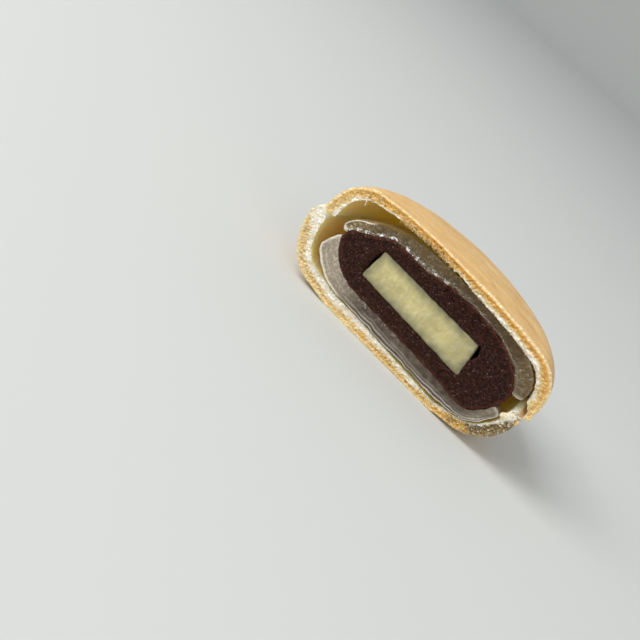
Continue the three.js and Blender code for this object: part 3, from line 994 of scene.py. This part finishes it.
class MONAKA_OT_bean_paste(bpy.types.Operator):
    """Build the disc of bean paste with the butter's pocket"""

    bl_idname = "monaka.bean_paste"
    bl_label = "Bean paste"

    def execute(self, context):
        s = context.scene.monaka_filling
        body = turned_disc(PASTE_RIGHT, PASTE_LEFT, count=120, turns=60)
        bmesh.ops.translate(body, vec=(FILLING_AXIS, 0, 0), verts=body.verts)
        wedge = [s.slot_left / MM * share for share in LEFT_SLOT]
        notch = [s.slot_right / MM * share for share in RIGHT_SLOT]
        pocket = butter_block(s, front=2, grow=0.15, left=wedge, right=notch)
        bm = voxelled(body, size=0.3, hollow=pocket)
        rim = bm.verts.layers.float.new("rim")
        outline = [smooth_line(points, 90) for points in (PASTE_RIGHT, PASTE_LEFT)]
        for vert in bm.verts:
            point = vert.co.copy()
            if point.y < 0.4:
                line = outline[0] if point.x > FILLING_AXIS else outline[1]
                flat = Vector((abs(point.x - FILLING_AXIS), 0, point.z))
                inset = min((flat - p).length for p in line)
                vert[rim] = 1 - smooth(inset / (0.9 + 0.5 * bumps(point, 2.0)))
            # Over the butter the paste is torn, apart from its left end
            torn = smooth((point.z - 6.2) / 2.5) * smooth((point.x + 12) / 5)
            lumps = 0.15 * bumps(point, 1.6) + (0.14 + 0.2 * torn) * bumps(point, 0.75, 5)
            vert.co += vert.normal * (0.22 + lumps - 0.35 * torn * bubbles(point, 1.8))
        finish_piece("bean_paste_disc", bm, [paste_material(s)], ["bean_paste"])
        return {"FINISHED"}


class MONAKA_OT_butter(bpy.types.Operator):
    """Build the pat of butter"""

    bl_idname = "monaka.butter"
    bl_label = "Butter"

    def execute(self, context):
        s = context.scene.monaka_filling
        block = butter_block(s, front=-0.1)
        bmesh.ops.bevel(
            block, geom=block.edges, offset=0.45, segments=3, profile=0.5, affect="EDGES", material=-1
        )
        bm = voxelled(block, size=0.28)
        rim = bm.verts.layers.float.new("rim")
        width, thickness = s.butter_width / MM, s.butter_thickness / MM
        for vert in bm.verts:
            point = vert.co.copy()
            across = point - BUTTER_CENTRE
            across.z += across.x * math.tan(s.butter_tilt)
            inset = min(thickness / 2 - abs(across.z), width / 2 - abs(across.x))
            vert[rim] = (1 - smooth(inset / 3.6)) * (0.75 + 0.3 * bumps(point, 2.0))
            vert[rim] = max(vert[rim], 0.38 * smooth((across.x - 5) / 9))
            vert.co += vert.normal * (0.14 * bumps(point, 3.0) + 0.09 * bumps(point, 0.9))
        finish_piece("butter_pat", bm, [butter_material(s)], ["butter"])
        return {"FINISHED"}


# Stage -----------------------------------------------------------------------------------------


def add_floor(s):
    """A round matt floor that sweeps up into a wall."""
    bm = bmesh.new()
    flat = s.floor_radius
    line = [Vector((0, 0, 0)), Vector((flat, 0, 0))]
    for step in range(1, 13):
        turn = math.radians(90 * step / 12)
        line.append(Vector((flat + SWEEP * math.sin(turn), 0, SWEEP - SWEEP * math.cos(turn))))
    line.append(Vector((flat + SWEEP, 0, WALL_HEIGHT)))
    verts = [bm.verts.new(point) for point in line]
    edges = [bm.edges.new(pair) for pair in zip(verts, verts[1:])]
    bmesh.ops.spin(
        bm, geom=[*verts, *edges], cent=(0, 0, 0), axis=(0, 0, 1), angle=math.tau, steps=96,
        use_merge=True
    )
    bmesh.ops.remove_doubles(bm, verts=bm.verts, dist=1e-6)
    bmesh.ops.recalc_face_normals(bm, faces=bm.faces)
    bmesh.ops.reverse_faces(bm, faces=bm.faces)
    for face in bm.faces:
        face.smooth = True
    mesh = bpy.data.meshes.new("floor")
    bm.to_mesh(mesh)
    bm.free()
    paint = new_material("matt_paint")[0]
    shader = node(paint, "BsdfPrincipled", {"Base Color": s.floor, "Roughness": 0.9})
    node(paint, "OutputMaterial", {"Surface": shader})
    mesh.materials.append(paint)
    floor = bpy.data.objects.new("floor", mesh)
    floor.location.z = -FLOOR_GAP
    bpy.context.scene.collection.objects.link(floor)


def area_light(name, direction, distance, size, watts):
    """A square light that looks at the half from that direction."""
    light = bpy.data.lights.new(name, "AREA")
    light.shape = "SQUARE"
    light.size = size
    light.energy = watts
    lamp = bpy.data.objects.new(name, light)
    direction = Vector(direction).normalized()
    lamp.location = direction * distance
    lamp.rotation_mode = "QUATERNION"
    lamp.rotation_quaternion = direction.to_track_quat("Z", "Y")
    bpy.context.scene.collection.objects.link(lamp)


def add_camera(s):
    """A camera that looks at the cut from a little above, rolled as the half leans in the picture."""
    camera = bpy.data.cameras.new("camera")
    camera.lens = s.lens
    camera.sensor_width = 36
    camera.clip_start = 0.01
    camera.clip_end = 10
    eye = bpy.data.objects.new("camera", camera)
    back = Vector((
        math.sin(s.azimuth) * math.cos(s.elevation), -math.cos(s.azimuth) * math.cos(s.elevation),
        math.sin(s.elevation),
    ))
    eye.rotation_mode = "QUATERNION"
    eye.rotation_quaternion = back.to_track_quat("Z", "Y") @ Quaternion((0, 0, 1), -s.roll)
    eye.location = SWEET @ AIM + back * s.distance
    bpy.context.scene.collection.objects.link(eye)
    bpy.context.scene.camera = eye


class MONAKA_OT_stage(bpy.types.Operator):
    """Build the floor, its backdrop, the lights and the camera"""

    bl_idname = "monaka.stage"
    bl_label = "Stage"

    def execute(self, context):
        s = context.scene.monaka_stage
        add_floor(s)
        area_light("key_light", KEY_DIRECTION, distance=1.1, size=0.7, watts=s.key_power)
        watts = s.spark_power / len(SPARK_DIRECTIONS)
        for i, direction in enumerate(SPARK_DIRECTIONS):
            area_light(f"spark_light_{i}", direction, distance=0.9, size=0.04, watts=watts)
        area_light("fill_light", FILL_DIRECTION, distance=1.0, size=0.7, watts=s.fill_power)
        world = bpy.data.worlds.new("soft_room")
        world.use_nodes = True
        world.node_tree.nodes["Background"].inputs["Color"].default_value = s.room
        world.node_tree.nodes["Background"].inputs["Strength"].default_value = s.room_strength
        context.scene.world = world
        context.scene.view_settings.view_transform = "Standard"
        add_camera(s)
        return {"FINISHED"}


class VIEW3D_PT_monaka(bpy.types.Panel):
    """Lists the pieces of the half monaka"""

    bl_label = "Half Monaka"
    bl_space_type = "VIEW_3D"
    bl_region_type = "UI"
    bl_category = "Monaka"

    def draw(self, context):
        for operator in OPERATORS:
            self.layout.operator(operator.bl_idname)


OPERATORS = (MONAKA_OT_stage, MONAKA_OT_wafers, MONAKA_OT_mochi, MONAKA_OT_bean_paste, MONAKA_OT_butter)
SETTINGS = {"monaka_wafer": WaferSettings, "monaka_filling": FillingSettings, "monaka_stage": StageSettings}
CLASSES = (*SETTINGS.values(), *OPERATORS, VIEW3D_PT_monaka)


def register():
    """Adds the classes, and each group of settings to the scene."""
    for cls in CLASSES:
        bpy.utils.register_class(cls)
    for name, group in SETTINGS.items():
        setattr(bpy.types.Scene, name, PointerProperty(type=group))


def unregister():
    """Takes the settings and the classes away again."""
    for name in SETTINGS:
        delattr(bpy.types.Scene, name)
    for cls in reversed(CLASSES):
        bpy.utils.unregister_class(cls)


def main():
    """Builds the stage and every piece."""
    register()
    bpy.ops.monaka.stage()
    bpy.ops.monaka.wafers()
    bpy.ops.monaka.mochi()
    bpy.ops.monaka.bean_paste()
    bpy.ops.monaka.butter()


if __name__ == "__main__":
    main()
